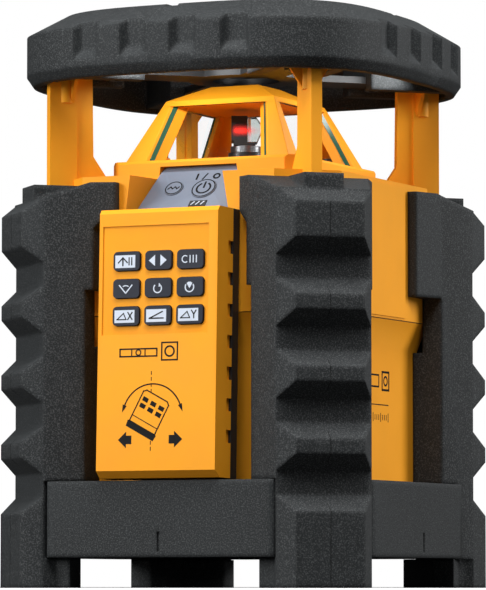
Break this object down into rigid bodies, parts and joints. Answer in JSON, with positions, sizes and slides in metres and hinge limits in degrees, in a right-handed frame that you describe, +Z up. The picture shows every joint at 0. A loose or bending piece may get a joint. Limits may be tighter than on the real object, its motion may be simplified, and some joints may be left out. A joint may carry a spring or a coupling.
{
  "type": "rotating laser level",
  "caption": "Rotating laser level in a shock-absorbing frame, with a spinning prism head under a roof plate, a self-levelling gimbal inside and a lift-off remote on its front.",
  "frame": {"origin": "centre of the plane that the four feet stand on", "axes": "+Z up, -Y towards the control panel and the remote, +X to the right seen from the front"},
  "size_m": [0.1648, 0.1669, 0.2366],
  "materials": {
    "bumper_foam": "dark grey shock-absorbing foam with a fine light speckle",
    "yellow_shell": "warm yellow moulded plastic, satin with a fine grain",
    "black_plastic": "black moulded plastic, satin",
    "gasket_rubber": "soft black rubber",
    "steel": "bright zinc-plated steel",
    "black_steel": "blackened steel screws",
    "ink_dark": "black print of the signs on the remote and the panel",
    "ink_light": "pale grey print of the signs on the keys",
    "laser_red": "red glow where the beam leaves the prism",
    "brass": "turned brass",
    "aluminium": "machined aluminium",
    "panel_silver": "silver-blue printed panel foil",
    "window_glass": "clear glass with green edges",
    "circuit_board": "green solder mask",
    "battery_jacket": "printed cell jacket, plain",
    "key_plastic": "dark navy soft-touch keys"
  },
  "bodies": {
    "chassis": {"base_bumper": "bumper_foam", "corner_bumper_front_left": "bumper_foam", "corner_bumper_front_right": "bumper_foam", "corner_bumper_rear_left": "bumper_foam", "corner_bumper_rear_right": "bumper_foam", "top_bumper": "bumper_foam", "top_carrier_plate": "black_plastic", "top_screws": "black_steel", "lower_housing": "yellow_shell", "upper_housing": "yellow_shell", "housing_gasket": "gasket_rubber", "case_screws": "black_steel", "base_plate": "black_plastic", "tripod_insert": "brass", "control_panel": "panel_silver", "tilt_lamp": "black_plastic", "head_cage": "yellow_shell", "head_windows": "window_glass", "head_screws": "black_steel", "gimbal_frame": "aluminium", "main_board": "circuit_board", "battery_box": "black_plastic", "battery_cells": "battery_jacket", "battery_door_pin": "steel", "level_motors": "steel"},
    "gimbal": {"gimbal_ring": "brass"},
    "cradle": {"laser_cradle": "aluminium", "rotor_bearings": "steel", "laser_tube": "aluminium", "laser_module": "brass", "collimator_lens": "window_glass", "drive_motor": "steel", "drive_belt": "gasket_rubber"},
    "rotor": {"rotor_spindle": "steel", "rotor_pulley": "brass", "prism_holder": "black_plastic", "pentaprism": "window_glass"},
    "motor_drive": {"motor_pulley": "brass"},
    "screw_x": {"level_screw_x": "steel"},
    "screw_y": {"level_screw_y": "steel"},
    "nut_x": {"level_nut_x": "brass"},
    "nut_y": {"level_nut_y": "brass"},
    "door": {"battery_door": "yellow_shell"},
    "latch": {"battery_latch": "black_plastic"},
    "power_key": {"power_button": "panel_silver"},
    "manual_key": {"manual_button": "panel_silver"},
    "remote": {"remote_front_shell": "yellow_shell", "remote_rear_shell": "black_plastic", "remote_board": "circuit_board", "remote_cells": "battery_jacket", "remote_battery_door": "black_plastic"},
    "remote_shift": {"remote_key_shift": "key_plastic"},
    "remote_scan": {"remote_key_scan": "key_plastic"},
    "remote_standby": {"remote_key_standby": "key_plastic"},
    "remote_line": {"remote_key_line": "key_plastic"},
    "remote_rotate": {"remote_key_rotate": "key_plastic"},
    "remote_speed": {"remote_key_speed": "key_plastic"},
    "remote_slope_x": {"remote_key_slope_x": "key_plastic"},
    "remote_tilt": {"remote_key_tilt": "key_plastic"},
    "remote_slope_y": {"remote_key_slope_y": "key_plastic"}
  },
  "joints": [
    {"name": "level_about_x", "type": "hinge", "parent": "chassis", "child": "gimbal", "pos_m": [0, 0, 0.15], "axis": [1, 0, 0], "range_deg": [-5, 5]},
    {"name": "level_about_y", "type": "hinge", "parent": "gimbal", "child": "cradle", "pos_m": [0, 0, 0.15], "axis": [0, 1, 0], "range_deg": [-5, 5]},
    {"name": "rotor_spin", "type": "hinge", "parent": "cradle", "child": "rotor", "pos_m": [0, 0, 0.15], "axis": [0, 0, 1], "continuous": true},
    {"name": "motor_spin", "type": "hinge", "parent": "cradle", "child": "motor_drive", "pos_m": [-0.017, 0, 0.157], "axis": [0, 0, 1], "continuous": true},
    {"name": "nut_x_slide", "type": "slide", "parent": "chassis", "child": "nut_x", "axis": [1, 0, 0], "range_m": [-0.0055, 0.0055]},
    {"name": "nut_y_slide", "type": "slide", "parent": "chassis", "child": "nut_y", "axis": [0, 1, 0], "range_m": [-0.0055, 0.0055]},
    {"name": "screw_x_turn", "type": "hinge", "parent": "chassis", "child": "screw_x", "pos_m": [0.03, 0, 0.088], "axis": [1, 0, 0], "continuous": true},
    {"name": "screw_y_turn", "type": "hinge", "parent": "chassis", "child": "screw_y", "pos_m": [0, -0.03, 0.096], "axis": [0, 1, 0], "continuous": true},
    {"name": "battery_door_hinge", "type": "hinge", "parent": "chassis", "child": "door", "pos_m": [0, 0.0626, 0.0492], "axis": [-1, 0, 0], "range_deg": [0, 85]},
    {"name": "battery_latch_turn", "type": "hinge", "parent": "door", "child": "latch", "pos_m": [0, 0.0626, 0.1], "axis": [0, -1, 0], "range_deg": [0, 90]},
    {"name": "power_button_press", "type": "slide", "parent": "chassis", "child": "power_key", "axis": [0, 0.7431, -0.6691], "range_m": [0, 0.0004]},
    {"name": "manual_button_press", "type": "slide", "parent": "chassis", "child": "manual_key", "axis": [0, 0.7431, -0.6691], "range_m": [0, 0.0004]},
    {"name": "remote_lift_off", "type": "slide", "parent": "chassis", "child": "remote", "axis": [0, -1, 0], "range_m": [0, 0.06]},
    {"name": "remote_shift_press", "type": "slide", "parent": "remote", "child": "remote_shift", "axis": [0, 0.9996, -0.0297], "range_m": [0, 0.0007]},
    {"name": "remote_scan_press", "type": "slide", "parent": "remote", "child": "remote_scan", "axis": [0, 0.9996, -0.0297], "range_m": [0, 0.0007]},
    {"name": "remote_standby_press", "type": "slide", "parent": "remote", "child": "remote_standby", "axis": [0, 0.9996, -0.0297], "range_m": [0, 0.0007]},
    {"name": "remote_line_press", "type": "slide", "parent": "remote", "child": "remote_line", "axis": [0, 0.9996, -0.0297], "range_m": [0, 0.0007]},
    {"name": "remote_rotate_press", "type": "slide", "parent": "remote", "child": "remote_rotate", "axis": [0, 0.9996, -0.0297], "range_m": [0, 0.0007]},
    {"name": "remote_speed_press", "type": "slide", "parent": "remote", "child": "remote_speed", "axis": [0, 0.9996, -0.0297], "range_m": [0, 0.0007]},
    {"name": "remote_slope_x_press", "type": "slide", "parent": "remote", "child": "remote_slope_x", "axis": [0, 0.9996, -0.0297], "range_m": [0, 0.0007]},
    {"name": "remote_tilt_press", "type": "slide", "parent": "remote", "child": "remote_tilt", "axis": [0, 0.9996, -0.0297], "range_m": [0, 0.0007]},
    {"name": "remote_slope_y_press", "type": "slide", "parent": "remote", "child": "remote_slope_y", "axis": [0, 0.9996, -0.0297], "range_m": [0, 0.0007]}
  ],
  "couplings": [
    {"joint": "motor_spin", "follows": "rotor_spin", "ratio": 2},
    {"joint": "nut_x_slide", "follows": "level_about_y", "m_per_rad": -0.062},
    {"joint": "nut_y_slide", "follows": "level_about_x", "m_per_rad": 0.054},
    {"joint": "screw_x_turn", "follows": "level_about_y", "ratio": -389.56},
    {"joint": "screw_y_turn", "follows": "level_about_x", "ratio": 339.29}
  ]
}
